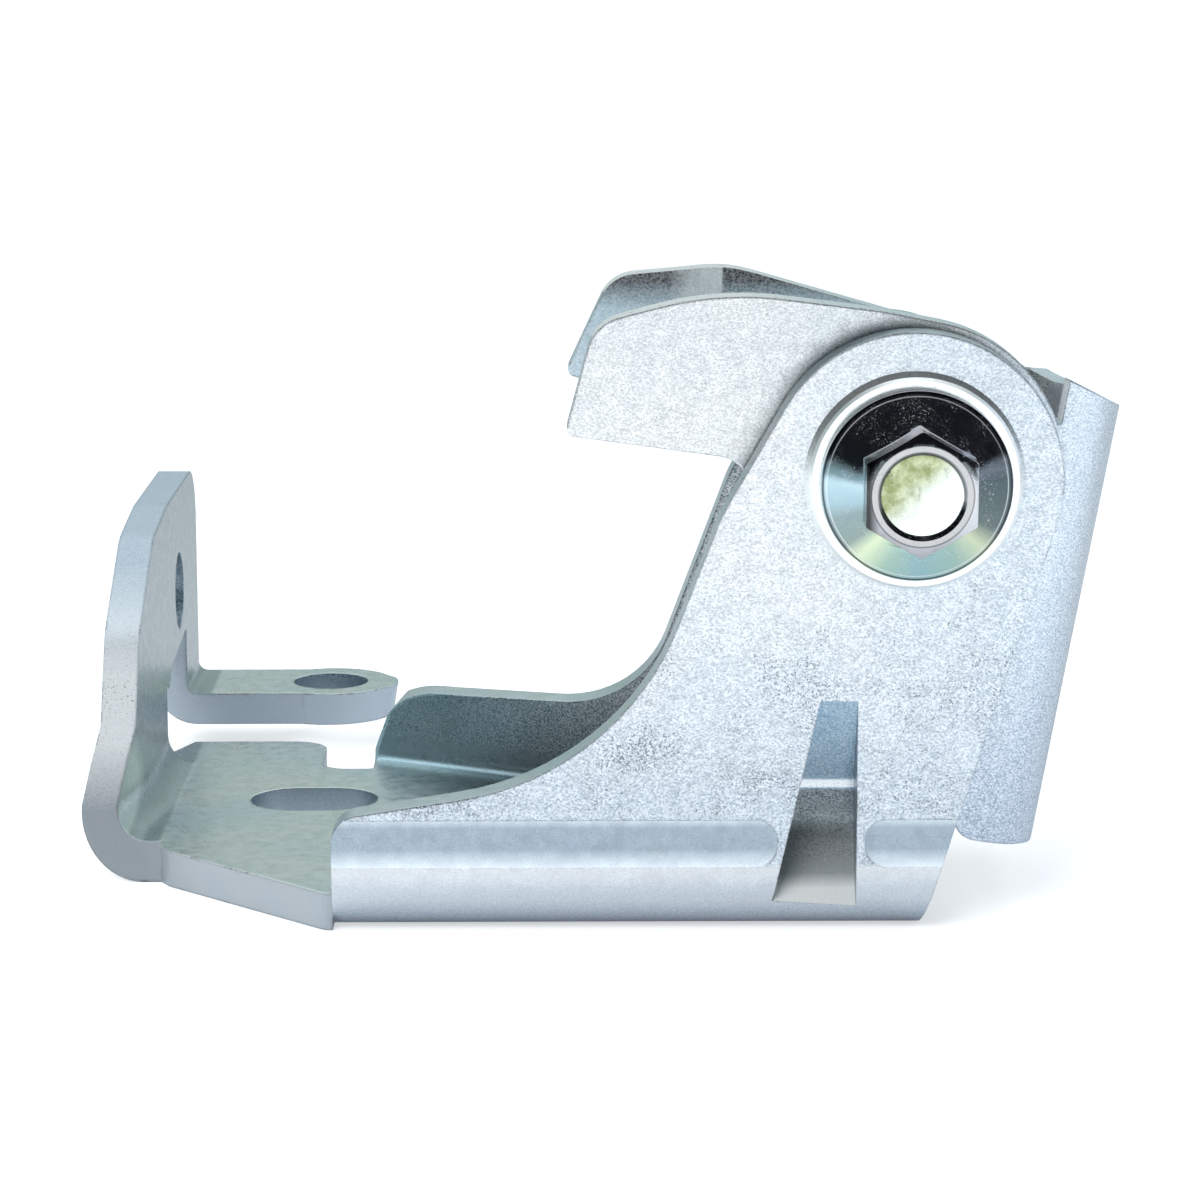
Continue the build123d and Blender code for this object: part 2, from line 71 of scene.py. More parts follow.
# Camera, at the photograph's viewing angle
image_side = 1200
focal_pixels = 3750.0
sensor_width = 36.0
camera_place = (-1.9 * mm, -464.9 * mm, 124.9 * mm)
camera_pitch = math.radians(10.8)
camera_yaw = math.radians(0.27)
camera_roll = math.radians(-0.1)
clip_near = 0.01
clip_far = 20.0

# Studio, as the metal reflects it: a soft room, bright patches and a dark band above the camera.
# A patch has its direction, the cosines where it starts and is full, and its colour.
room_colour = (0.34, 0.43, 0.46)
room_patches = (
    ((0.0, 1.0, 0.25), 0.70, 0.97, (0.33, 0.42, 0.41)),
    ((1.0, 0.1, 0.0), 0.55, 0.92, (0.80, 0.92, 1.05)),
    ((-1.0, 0.0, 0.1), 0.60, 0.95, (0.52, 0.62, 0.66)),
    ((0.0, 0.35, 1.0), 0.60, 0.90, (1.10, 1.18, 1.25)),
)
dark_colour = (0.012, 0.014, 0.018)
dark_rise = (0.03, 0.20)
dark_fade = (0.91, 0.97)
dark_front = (0.02, 0.30)

# Floor: its reach, colour and brightness to the camera, and what the metal sees of it besides
floor_reach = 4.0
floor_gap = 0.05 * mm
floor_colour = (0.85, 0.86, 0.87)
floor_rough = 0.9
floor_shine = 0.1
floor_glow = 0.55
sweep_glow = (0.34, 0.375, 0.43)
sweep_near = 0.06
sweep_far = -0.08
far_glow = (0.19, 0.18, 0.17)
far_near = -0.10
far_far = -0.32

# Soft lamp: it lights what is dull, and the metal does not show it
lamp_place = (-0.35, -0.65, 0.70)
lamp_aim = (0.0, 0.0, 0.04)
lamp_side = 0.6
lamp_power = 6.0

# Copies of the stampings and the bolt: rounded edges, the angles that count as an edge, a crease or flat,
# and the gaps within which points are one
edge_round = 0.30 * mm
bolt_round = 0.14 * mm
edge_angle = math.radians(32.0)
crease_angle = math.radians(22.0)
flat_angle = math.radians(0.4)
weld_gap = 0.002 * mm
coin_weld = 0.004 * mm
cut_gap = 0.0001 * mm
normal_weight = 80

# Near cheek, in millimetres: its face, and the coined bands' floor, foot, top and depth
cheek_face = -25.75
coin_floor = -25.5
coin_foot = 8.2
coin_top = 14.0
coin_sink = 0.38
coin_slack = 0.02
coin_points_top = coin_top + 0.1
coin_faces_top = coin_top + 0.2

# Dart in the near cheek, in millimetres: its box, its foot's top, and the roll that its foot lies on
dart_x = (15.0, 35.0)
dart_y = (-25.74, -12.0)
dart_z = (2.6, 29.2)
dart_foot = 6.1
dart_roll = (-19.75, 6.0)
dart_roll_reach = 5.9

# Other parts of the base, in millimetres
hole_reach = 5.8
slot_half = (8.8, 6.6)
floor_top = 5.0
bend_top = 5.5
upright_bend = -50.0
upright_plate = -55.0
upright_shoulder = 30.0
tab_start = 55.0
front_edge = -31.0
cheek_start = -34.0
cheek_side = 5.0
cheek_foot = 3.0
cut_floor = 4.5
crease_y = (15.0, 24.0)
crease_top = 8.0

# Front end of the far cheek, in millimetres: where its lean starts and stops, how far it leans and drops,
# the number of cuts that let it bend, and the share and the power that round its fall
end_start = -29.3
end_stop = -19.0
end_lean = 2.6
end_drop = 3.4
end_cuts = 8
end_side = 12.0
end_floor = 4.4
end_foot = 6.5
end_height = 9.0
drop_start = 0.25
drop_power = 2.5

# Arm, in millimetres: where its lobes, cut edges, rims and back lie
lobe_side = 8.0
cut_stop = 47.0
cut_foot = 25.0
rim_foot = 60.0
back_start = 40.0

# Top of the arm's web, in millimetres: what falls, between which sides, how far, and its slope in X
web_start = 55.5
web_foot = 63.2
web_near = -15.0
web_far = 11.0
web_drop = 1.1
web_lean = 0.18

# Plate: its clouds, grain, specks and nicks in waves to the metre, and the heights where they change
cloud_waves = 55.0
grain_waves = 4600.0
grain_stretch = (0.8, 1.0, 1.15)
grain_middle = 0.49
speck_waves = 4800.0
patch_waves = 140.0
nick_waves = 330.0
satin_waves = 600.0
calm_rise = (7.9 * mm, 8.6 * mm)
specks_rise = (13.8 * mm, 15.0 * mm)
specks_fade = (56.0 * mm, 22.0 * mm)
relief_depth = 0.05 * mm

# Turned parts: their roughness and their ripple, and the bolt's flecks, stain and scuffs
bright_waves = 900.0
ripple_waves = 1800.0
ripple_depth = 0.03 * mm
fleck_waves = 5200.0
fleck_patch_waves = 260.0
wander_waves = 330.0
stain_waves = 520.0
scuff_waves = 900.0
scuff_stretch = (1.0, 1.0, 0.35)

# Bolt: its hexagon and dish with the dish's brim of painted shade, the lines of painted shade round its rim and in
# its crown, its ridge, where painted shade and highlight fade in on its crown, and what fades from its axis
head_reach = 7.7 * mm
head_fade = 0.1 * mm
head_start = (-32.6 * mm, -32.8 * mm)
dish_reach = 5.3 * mm
dish_fade = 0.3 * mm
dish_brim = 4.75 * mm
brim_fade = 0.1 * mm
rim_line = (10.95 * mm, 11.05 * mm, 11.20 * mm, 11.28 * mm)
ridge_line = (10.60 * mm, 10.66 * mm, 10.74 * mm, 10.80 * mm)
crown_line = (5.85 * mm, 5.92 * mm, 6.04 * mm, 6.12 * mm)
crown_left = (-4.9 * mm, -6.1 * mm)
crown_right = (2.5 * mm, 6.0 * mm)
stain_shift = 3.0 * mm
stain_wander = 6.0 * mm
stain_fade = (-2.5 * mm, 2.5 * mm)
scuff_fade = (1.5 * mm, -3.5 * mm)

# Bolt's cone, in millimetres: its face at the hexagon, how far it reaches and rises, and its cuts
cone_face = -31.75
cone_reach = 7.6
cone_rise = 0.69
cone_slack = 0.05
face_slack = 0.01
head_cuts = 7

# Tints of the flange's sectors, by the share of a turn from the left and against the clock: the plating's tints,
# with painted reflection that makes some sectors darker or paler
sector_tints_and_reflections = (
    (0.00, (0.42, 0.56, 0.60)),
    (0.03, (0.40, 0.54, 0.58)),
    (0.06, (0.30, 0.38, 0.38)),
    (0.11, (0.34, 0.42, 0.38)),
    (0.14, (0.88, 0.98, 0.66)),
    (0.19, (0.48, 0.66, 0.54)),
    (0.25, (0.36, 0.56, 0.58)),
    (0.33, (0.38, 0.54, 0.46)),
    (0.38, (0.66, 0.72, 0.50)),
    (0.42, (0.16, 0.20, 0.19)),
    (0.52, (0.10, 0.13, 0.14)),
    (0.60, (0.60, 0.58, 0.62)),
    (0.90, (0.60, 0.60, 0.60)),
    (0.97, (0.42, 0.56, 0.60)),
)


def link(obj):
    """Puts a new object into the scene."""
    bpy.context.scene.collection.objects.link(obj)
    return obj


def add_camera():
    """The camera looks along +Y, a little down and a little to the right."""
    data = bpy.data.cameras.new("camera")
    data.sensor_width = sensor_width
    data.lens = focal_pixels / image_side * sensor_width
    data.clip_start = clip_near
    data.clip_end = clip_far
    camera = link(bpy.data.objects.new("camera", data))
    camera.location = camera_place
    turn = Euler((math.pi / 2 - camera_pitch, 0.0, -camera_yaw), "XYZ").to_matrix()
    roll = Matrix.Rotation(camera_roll, 3, "Z")
    camera.rotation_euler = (turn @ roll).to_euler()
    bpy.context.scene.camera = camera


class Nodes:
    """Short calls for building a material's nodes."""

    def __init__(self, name):
        self.material = bpy.data.materials.new(name)
        self.material.use_nodes = True
        self.tree = self.material.node_tree
        self.shader = self.tree.nodes["Principled BSDF"]
        self.place = self.tree.nodes.new("ShaderNodeTexCoord").outputs["Object"]

    def join(self, source, target):
        """Links an output to an input."""
        self.tree.links.new(source, target)

    def fill(self, sockets, values):
        """Gives each socket its number, its colour or its link."""
        for socket, value in zip(sockets, values):
            if isinstance(value, tuple):
                socket.default_value = (*value, 1.0)
            elif isinstance(value, (int, float)):
                socket.default_value = value
            else:
                self.join(value, socket)

    def noise(self, scale, detail=2.0, rough=0.5, place=None):
        """A noise of so many waves to the metre."""
        node = self.tree.nodes.new("ShaderNodeTexNoise")
        sockets = [node.inputs[title] for title in ("Scale", "Detail", "Roughness")]
        self.fill(sockets, (scale, detail, rough))
        self.join(place or self.place, node.inputs["Vector"])
        return node.outputs["Fac"]

    def stretch(self, factors):
        """The object's coordinates, scaled along each axis."""
        node = self.tree.nodes.new("ShaderNodeMapping")
        node.inputs["Scale"].default_value = factors
        self.join(self.place, node.inputs["Vector"])
        return node.outputs["Vector"]

    def part(self, axis):
        """One of the object's coordinates."""
        node = self.tree.nodes.new("ShaderNodeSeparateXYZ")
        self.join(self.place, node.inputs[0])
        return node.outputs[axis]

    def remap(self, value, low, high, to_low=0.0, to_high=1.0):
        """A clamped ramp from low to high."""
        node = self.tree.nodes.new("ShaderNodeMapRange")
        for name, number in zip(("From Min", "From Max", "To Min", "To Max"), (low, high, to_low, to_high)):
            node.inputs[name].default_value = number
        self.join(value, node.inputs["Value"])
        return node.outputs["Result"]

    def band(self, value, stops):
        """One between the middle two of four stops, falling to nothing at the outer two."""
        rise = self.remap(value, stops[0], stops[1])
        fall = self.remap(value, stops[3], stops[2])
        return self.math("MULTIPLY", rise, fall)

    def math(self, kind, first, second):
        """A sum, product or the like of two values."""
        node = self.tree.nodes.new("ShaderNodeMath")
        node.operation = kind
        self.fill(node.inputs, (first, second))
        return node.outputs[0]

    def mix(self, factor, first, second, kind="MIX"):
        """Two colours mixed by a factor."""
        node = self.tree.nodes.new("ShaderNodeMix")
        node.data_type = "RGBA"
        node.blend_type = kind
        self.fill((node.inputs[0], node.inputs[6], node.inputs[7]), (factor, first, second))
        return node.outputs[2]

    def bump(self, height, strength, distance, normal=None):
        """Bumps on the shader's normal, over another normal where one is given."""
        node = self.tree.nodes.new("ShaderNodeBump")
        self.fill((node.inputs["Strength"], node.inputs["Distance"]), (strength, distance))
        self.join(height, node.inputs["Height"])
        if normal:
            self.join(normal, node.inputs["Normal"])
        self.join(node.outputs["Normal"], self.shader.inputs["Normal"])

    def roughness(self, scale, low, high):
        """A roughness that drifts between two values."""
        drift = self.remap(self.noise(scale, 3.0), 0.3, 0.7, low, high)
        self.join(drift, self.shader.inputs["Roughness"])

    def rounded_edges(self, radius):
        """The normal over edges of a small radius, and how near a point is to such an edge."""
        bevel = self.tree.nodes.new("ShaderNodeBevel")
        bevel.samples = 6
        bevel.inputs["Radius"].default_value = radius
        flat = self.tree.nodes.new("ShaderNodeNewGeometry").outputs["True Normal"]
        turned = self.tree.nodes.new("ShaderNodeVectorMath")
        turned.operation = "DOT_PRODUCT"
        self.join(bevel.outputs["Normal"], turned.inputs[0])
        self.join(flat, turned.inputs[1])
        return bevel.outputs["Normal"], self.remap(turned.outputs["Value"], 0.985, 0.80)


def zinc_plate(name, cool, warm, rough, grit=1.0, specks=0.0, edge=0.25, painted_light=(), metal=1.0):
    """Satin zinc plate: clouds, grain, dark specks and nicked edges.

    The edge's width is in millimetres. Each painted light is an axis, two or four stops along it in millimetres,
    and the colour of painted highlight or painted shade that fades in. The metal is one number, or the two heights
    between which it rises.
    """
    speck_colour = (0.16, 0.19, 0.21)
    nick_colour = (0.12, 0.10, 0.10)
    kit = Nodes(name)
    shader = kit.shader
    height = kit.part("Z")
    if isinstance(metal, tuple):
        low, high = metal
        kit.join(kit.remap(height, low * mm, high * mm), shader.inputs["Metallic"])
    else:
        shader.inputs["Metallic"].default_value = metal
    edge_normal, at_edge = kit.rounded_edges(edge * mm)

    # Grain, calmer on the bend at the part's foot
    grain = kit.noise(grain_waves, 2.0, 0.7, kit.stretch(grain_stretch))
    calm = kit.remap(height, *calm_rise, 0.25, 1.0)
    grain = kit.math("MULTIPLY", kit.math("SUBTRACT", grain, grain_middle), calm)
    grain = kit.math("ADD", grain, grain_middle)

    # Cool and warm clouds, the painted highlights and painted shade over them, and the grain over both
    colour = kit.mix(kit.remap(kit.noise(cloud_waves, 3.0), 0.40, 0.64), cool, warm)
    for axis, stops, shade in painted_light:
        along = kit.part(axis)
        stops = [stop * mm for stop in stops]
        fade = kit.band(along, stops) if len(stops) == 4 else kit.remap(along, *stops)
        colour = kit.mix(fade, colour, shade)
    dull = kit.mix(1.0, colour, (1.0 - 0.38 * grit,) * 3, "MULTIPLY")
    colour = kit.mix(kit.remap(grain, 0.36, 0.62), dull, kit.mix(0.55 * grit, colour, white))

    # Fine dark specks, in patches low on the part but not on its bands and bends
    patches = kit.remap(kit.noise(patch_waves, 3.0), 0.40, 0.66, 0.0, specks)
    patches = kit.math("MULTIPLY", patches, kit.remap(height, *specks_fade))
    limit = kit.math("SUBTRACT", 0.72, patches)
    mask = kit.remap(kit.math("SUBTRACT", kit.noise(speck_waves, 1.0, 0.5), limit), 0.0, 0.05)
    mask = kit.math("MULTIPLY", mask, kit.remap(height, *specks_rise))
    colour = kit.mix(kit.math("MULTIPLY", mask, 0.8), colour, speck_colour)

    # Nicks along the edges
    nick = kit.math("MULTIPLY", kit.remap(kit.noise(nick_waves, 4.0, 0.7), 0.575, 0.615), at_edge)
    colour = kit.mix(kit.math("MULTIPLY", nick, 0.8), colour, nick_colour)
    kit.join(colour, shader.inputs["Base Color"])

    kit.roughness(satin_waves, rough - 0.04, rough + 0.06)
    relief = kit.math("SUBTRACT", grain, kit.math("MULTIPLY", mask, 0.6))
    kit.bump(relief, 0.30 * grit, relief_depth, edge_normal)
    return kit.material


def bright_zinc(name, base, tints, rough, spread, metal=1.0):
    """Bright iridescent zinc on turned parts: tints that drift over the surface."""
    kit = Nodes(name)
    kit.shader.inputs["Metallic"].default_value = metal
    colour = kit.mix(kit.remap(kit.noise(spread), 0.35, 0.65), *tints)
    colour = kit.mix(kit.remap(kit.noise(spread * 2.3), 0.4, 0.7), colour, base)
    kit.join(colour, kit.shader.inputs["Base Color"])
    kit.roughness(bright_waves, rough - 0.03, rough + 0.06)
    kit.bump(kit.noise(ripple_waves), 0.12, ripple_depth)
    return kit.material


def flange_tints_and_reflections(kit, turn):
    """The flange's tints and painted reflections, by sector."""
    sectors = kit.tree.nodes.new("ShaderNodeValToRGB")
    kit.join(turn, sectors.inputs["Fac"])
    marks = sectors.color_ramp.elements
    for mark, (position, tint) in zip(marks, (sector_tints_and_reflections[0], sector_tints_and_reflections[-1])):
        mark.position = position
        mark.color = (*tint, 1.0)
    for position, tint in sector_tints_and_reflections[1:-1]:
        marks.new(position).color = (*tint, 1.0)
    return sectors.outputs["Color"]


def crown_painted_light(kit, reach):
    """The hexagon's greys: painted shade on its left, a painted highlight on its right, with a pale ring inside a
    dark line of painted shade.
    """
    grey = (0.46, 0.45, 0.46)
    pale = (0.66, 0.65, 0.66)
    shadow = (0.07, 0.07, 0.07)
    ring_colour = (0.48, 0.47, 0.46)
    shade_line_colour = (0.10, 0.10, 0.10)
    # Painted shade on the left and painted highlight on the right, by X
    left = kit.remap(kit.part("X"), *(bolt_axis[0] + stop for stop in crown_left))
    right = kit.remap(kit.part("X"), *(bolt_axis[0] + stop for stop in crown_right))
    crown = kit.mix(left, kit.mix(right, grey, pale), shadow)
    crown = kit.mix(kit.remap(reach, crown_line[1], crown_line[0]), crown, ring_colour)
    return kit.mix(kit.math("MULTIPLY", kit.band(reach, crown_line), 0.7), crown, shade_line_colour)


def dish_tints(kit, reach):
    """The dish: a yellow-green stain with scuffs at its upper left, pale at its lower right, a dark brim of
    painted shade.
    """
    stain_dark = (0.27, 0.30, 0.14)
    stain_pale = (0.50, 0.54, 0.34)
    clean = (0.84, 0.88, 0.85)
    scuff_colour = (0.10, 0.10, 0.09)
    brim_shade_colour = (0.06, 0.06, 0.07)
    slant = kit.math("SUBTRACT", kit.part("X"), kit.part("Z"))
    slant = kit.math("ADD", slant, kit.math("MULTIPLY", kit.noise(wander_waves, 3.0), stain_wander))
    middle = bolt_axis[0] - bolt_axis[1] + stain_shift
    stain = kit.mix(kit.remap(kit.noise(stain_waves, 4.0, 0.6), 0.40, 0.60), stain_dark, stain_pale)
    dish = kit.mix(kit.remap(slant, *(middle + stop for stop in stain_fade)), stain, clean)
    scuffs = kit.remap(kit.noise(scuff_waves, 4.0, 0.75, kit.stretch(scuff_stretch)), 0.60, 0.66)
    scuffs = kit.math("MULTIPLY", scuffs, kit.remap(slant, *(middle + stop for stop in scuff_fade)))
    dish = kit.mix(kit.math("MULTIPLY", scuffs, 0.85), dish, scuff_colour)
    # Painted shade on the dish's brim
    brim = kit.remap(reach, dish_brim, dish_brim + brim_fade)
    return kit.mix(kit.math("MULTIPLY", brim, 0.85), dish, brim_shade_colour)


def bolt_plate(name):
    """Bright zinc on the bolt: flange, hexagon and dish, each with its own tints and painted light."""
    fleck_colour = (0.95, 0.97, 0.97)
    rim_shade_colour = (0.05, 0.05, 0.06)
    kit = Nodes(name)
    shader = kit.shader
    from_axis = kit.tree.nodes.new("ShaderNodeCombineXYZ")
    kit.join(kit.math("SUBTRACT", kit.part("X"), bolt_axis[0]), from_axis.inputs[0])
    kit.join(kit.math("SUBTRACT", kit.part("Z"), bolt_axis[1]), from_axis.inputs[1])
    turn = kit.tree.nodes.new("ShaderNodeTexGradient")
    turn.gradient_type = "RADIAL"
    kit.join(from_axis.outputs[0], turn.inputs[0])
    length = kit.tree.nodes.new("ShaderNodeVectorMath")
    length.operation = "LENGTH"
    kit.join(from_axis.outputs[0], length.inputs[0])
    reach = length.outputs["Value"]

    # Flange: pale flecks in patches, a pale ridge and a thin dark rim of painted shade; what is pale is also less
    # metallic
    flecks = kit.remap(kit.noise(fleck_waves, 2.0, 0.6), 0.58, 0.68)
    flecks = kit.math("MULTIPLY", flecks, kit.remap(kit.noise(fleck_patch_waves, 3.0), 0.42, 0.60))
    scratches = kit.math("MAXIMUM", flecks, kit.band(reach, ridge_line))
    colour = flange_tints_and_reflections(kit, turn.outputs["Fac"])
    colour = kit.mix(kit.math("MULTIPLY", scratches, 0.6), colour, fleck_colour)
    kit.join(kit.remap(scratches, 0.0, 1.0, 1.0, 0.65), shader.inputs["Metallic"])
    colour = kit.mix(kit.math("MULTIPLY", kit.band(reach, rim_line), 0.85), colour, rim_shade_colour)

    # Hexagon and dish over it
    on_head = kit.remap(reach, head_reach, head_reach - head_fade)
    on_head = kit.math("MULTIPLY", on_head, kit.remap(kit.part("Y"), *head_start))
    colour = kit.mix(on_head, colour, crown_painted_light(kit, reach))
    in_dish = kit.remap(reach, dish_reach, dish_reach - dish_fade)
    colour = kit.mix(in_dish, colour, dish_tints(kit, reach))
    kit.join(colour, shader.inputs["Base Color"])
    kit.roughness(bright_waves, 0.07, 0.14)
    kit.bump(kit.math("ADD", kit.noise(ripple_waves), flecks), 0.15, ripple_depth)
    return kit.material


def dress(node, material):
    """Gives a node's object a new material in each of its slots."""
    for slot in frame["nodes"][node].material_slots:
        slot.material = material


def add_lamp():
    """A soft square lamp, high at the left, that the metal does not mirror."""
    data = bpy.data.lights.new("softbox", "AREA")
    data.size = lamp_side
    data.energy = lamp_power
    lamp = link(bpy.data.objects.new("softbox", data))
    lamp.location = lamp_place
    lamp.rotation_euler = (Vector(lamp_aim) - Vector(lamp_place)).to_track_quat("-Z", "Y").to_euler()
    lamp.visible_glossy = False


def add_floor():
    """A plain pale floor: white to the camera, paler grey to the metal, with the part's shadow."""
    mesh = bpy.data.meshes.new("floor")
    corners = [(x * floor_reach, y * floor_reach, 0.0) for x, y in ((-1, -1), (1, -1), (1, 1), (-1, 1))]
    mesh.from_pydata(corners, [], [(0, 1, 2, 3)])
    floor = link(bpy.data.objects.new("floor", mesh))
    floor.location = (0.0, 0.0, cad_box[0][2] - floor_gap)
    kit = Nodes("floor_white")
    kit.shader.inputs["Base Color"].default_value = (*floor_colour, 1.0)
    kit.shader.inputs["Roughness"].default_value = floor_rough
    kit.shader.inputs["Specular IOR Level"].default_value = floor_shine
    path = kit.tree.nodes.new("ShaderNodeLightPath")

    def mirrored(start, stop, colour):
        """A glow along Y that only the metal sees."""
        share = kit.math("MULTIPLY", kit.remap(kit.part("Y"), start, stop), path.outputs["Is Glossy Ray"])
        return kit.mix(share, black, colour)

    glow = kit.mix(
        1.0, mirrored(sweep_near, sweep_far, sweep_glow), mirrored(far_near, far_far, far_glow), "ADD"
    )
    glow = kit.mix(path.outputs["Is Camera Ray"], glow, (floor_glow,) * 3)
    kit.join(glow, kit.shader.inputs["Emission Color"])
    kit.shader.inputs["Emission Strength"].default_value = 1.0
    mesh.materials.append(kit.material)


def add_world():
    """White to the camera; for the metal, a studio with bright and dark sides."""
    world = bpy.data.worlds.new("studio")
    bpy.context.scene.world = world
    world.use_nodes = True
    tree = world.node_tree

    def ramp(value, low, high, start=0.0, stop=1.0):
        """A smooth ramp from low to high."""
        node = tree.nodes.new("ShaderNodeMapRange")
        node.interpolation_type = "SMOOTHSTEP"
        for name, number in zip(("From Min", "From Max", "To Min", "To Max"), (low, high, start, stop)):
            node.inputs[name].default_value = number
        tree.links.new(value, node.inputs["Value"])
        return node.outputs["Result"]

    def toward(aim):
        """The cosine between a ray and a direction."""
        node = tree.nodes.new("ShaderNodeVectorMath")
        node.operation = "DOT_PRODUCT"
        tree.links.new(direction, node.inputs[0])
        node.inputs[1].default_value = Vector(aim).normalized()
        return node.outputs["Value"]

    def product(first, second):
        """Two values multiplied."""
        node = tree.nodes.new("ShaderNodeMath")
        node.operation = "MULTIPLY"
        tree.links.new(first, node.inputs[0])
        tree.links.new(second, node.inputs[1])
        return node.outputs[0]

    def over(factor, colour, shade):
        """A shade laid over a colour by a factor."""
        node = tree.nodes.new("ShaderNodeMix")
        node.data_type = "RGBA"
        tree.links.new(factor, node.inputs[0])
        tree.links.new(colour, node.inputs[6])
        node.inputs[7].default_value = (*shade, 1.0)
        return node.outputs[2]

    direction = tree.nodes.new("ShaderNodeTexCoord").outputs["Generated"]
    colour = tree.nodes.new("ShaderNodeRGB").outputs[0]
    colour.default_value = (*room_colour, 1.0)
    for aim, outer_edge, inner_edge, shade in room_patches:
        colour = over(ramp(toward(aim), outer_edge, inner_edge), colour, shade)
    split = tree.nodes.new("ShaderNodeSeparateXYZ")
    tree.links.new(direction, split.inputs[0])
    above = product(ramp(split.outputs["Z"], *dark_rise), ramp(split.outputs["Z"], *dark_fade, 1.0, 0.0))
    ahead = ramp(split.outputs["Y"], -dark_front[1], -dark_front[0], 1.0, 0.0)
    colour = over(product(above, ahead), colour, dark_colour)
    seen = tree.nodes.new("ShaderNodeLightPath").outputs["Is Camera Ray"]
    tree.links.new(over(seen, colour, white), tree.nodes["Background"].inputs["Color"])


# Kinds of surface on the stampings, as the numbers of their materials. A face's kind follows from its place
# in millimetres and its normal, whose part along an axis is 1 where the face looks straight that way.
outer, cut, inside, cheek_shade, wall_shade, dart, coined, sheared, lobe, crease, back, rim = range(12)


def between(value, bounds):
    """Whether a value lies between two bounds."""
    return bounds[0] < value < bounds[1]


def base_zone(spot, normal):
    """The kind of surface that a face of the base has."""
    x, y, z = spot

    # Walls of the holes and of the slot
    if math.hypot(x - tab_hole[0], y - tab_hole[1]) < hole_reach and abs(normal.z) < 0.3:
        return wall_shade
    in_slot = abs(x - floor_slot[0]) < slot_half[0] and abs(y - floor_slot[1]) < slot_half[1]
    if in_slot and z < floor_top and abs(normal.z) < 0.3:
        return wall_shade
    in_hole = math.hypot(y - upright_hole[1], z - upright_hole[2]) < hole_reach
    if in_hole and x < upright_plate and abs(normal.x) < 0.3:
        return wall_shade

    # Upright and tab: cut ends and faces
    if x < upright_bend:
        on_top = z > upright_shoulder and abs(normal.x) < 0.6
        return sheared if abs(normal.y) > 0.25 or on_top else inside
    if y > tab_start:
        return sheared if abs(normal.z) < 0.6 else inside

    # Dart and coined bands in the near cheek
    on_coin = abs(y - coin_floor) < coin_slack
    in_dart = between(x, dart_x) and between(y, dart_y) and between(z, dart_z)
    if in_dart and (z > dart_foot or math.hypot(y - dart_roll[0], z - dart_roll[1]) < dart_roll_reach):
        if normal.x < -0.6:
            return wall_shade
        return coined if normal.y < -0.999 and on_coin else dart
    if normal.y < -0.97 and on_coin and z < coin_faces_top:
        return coined

    # Floor, the crease at the far cheek, the cheeks' inner faces and the cut edges
    if z < bend_top and normal.z > 0.93:
        return inside
    by_far_cheek = x > cheek_start and normal.y < -0.15
    if by_far_cheek and between(y, crease_y) and z < crease_top and normal.z > 0.2:
        return crease
    if by_far_cheek and y > cheek_side and z > cheek_foot and normal.y < -0.3:
        return cheek_shade
    if abs(normal.y) < 0.4 and z > cut_floor:
        return cut
    if normal.y > 0.5 and y < 0:
        return cheek_shade
    return sheared if x < front_edge else outer


def arm_zone(spot, normal):
    """The kind of surface that a face of the arm has."""
    x, y, z = spot
    if (y > lobe_side and normal.y < -0.4) or (y < -lobe_side and normal.y > 0.4):
        return lobe
    if abs(normal.y) < 0.4 and normal.z > 0.5 and z > rim_foot:
        return rim
    if abs(normal.y) < 0.4 and x < cut_stop and z > cut_foot:
        return cut
    return back if x > back_start and normal.x < -0.5 else outer


def bolt_zone(spot, normal):
    """The bolt has one material."""
    return 0


def slope_bands(shape):
    """Lets the coined bands of the base run out flush at their lower edge."""
    for vert in shape.verts:
        x, y, z = vert.co / mm
        if abs(y - coin_floor) < coin_slack and z < coin_points_top:
            share = max(0.0, (z - coin_foot) / (coin_top - coin_foot))
            vert.co.y = (cheek_face + coin_sink * share) * mm
    bmesh.ops.remove_doubles(shape, verts=shape.verts, dist=coin_weld)


def in_far_cheek(vert):
    """Whether a point lies on the far cheek."""
    x, y, z = vert.co
    return y > end_side * mm and z > end_floor * mm and x > front_edge * mm


def lean_far_end(shape):
    """Leans and rounds the front end of the far cheek."""
    for number in range(end_cuts):
        spot = end_start + (end_stop - end_start) * number / (end_cuts - 1)
        faces = [face for face in shape.faces if all(in_far_cheek(vert) for vert in face.verts)]
        edges = dict.fromkeys(edge for face in faces for edge in face.edges)
        verts = dict.fromkeys(vert for face in faces for vert in face.verts)
        bmesh.ops.bisect_plane(
            shape, geom=[*faces, *edges, *verts], dist=cut_gap, plane_co=(spot * mm, 0, 0), plane_no=(1, 0, 0)
        )
    for vert in shape.verts:
        x, y, z = vert.co / mm
        if y > end_side and z > end_foot and front_edge < x < end_stop:
            near_end = (end_stop - x) / (end_stop - end_start)
            high = min(1.0, (z - end_foot) / end_height)
            vert.co.x += end_lean * near_end * high * mm
            vert.co.z -= end_drop * max(0.0, near_end - drop_start) ** drop_power * high ** 2 * mm


def shape_base(shape):
    """The two places where the base's copy departs a little from the solid."""
    slope_bands(shape)
    lean_far_end(shape)


def slant_web(shape):
    """Lets the top of the arm's web fall a little towards its far side."""
    for vert in shape.verts:
        x, y, z = vert.co / mm
        if x > web_start and z > web_foot and y > web_near:
            share = min(1.0, (y - web_near) / (web_far - web_near))
            vert.co.z -= web_drop * share * mm
            vert.co.x -= web_drop * share * web_lean * mm


def from_bolt(spot):
    """A point's distance from the bolt's axis, in millimetres."""
    return math.hypot(spot[0] - bolt_axis[0], spot[2] - bolt_axis[1]) / mm


def on_step(vert):
    """Whether a point of the bolt lies on the flat step round its hexagon."""
    return abs(vert.co.y / mm - cone_face) < face_slack and from_bolt(vert.co) < cone_reach - cone_slack


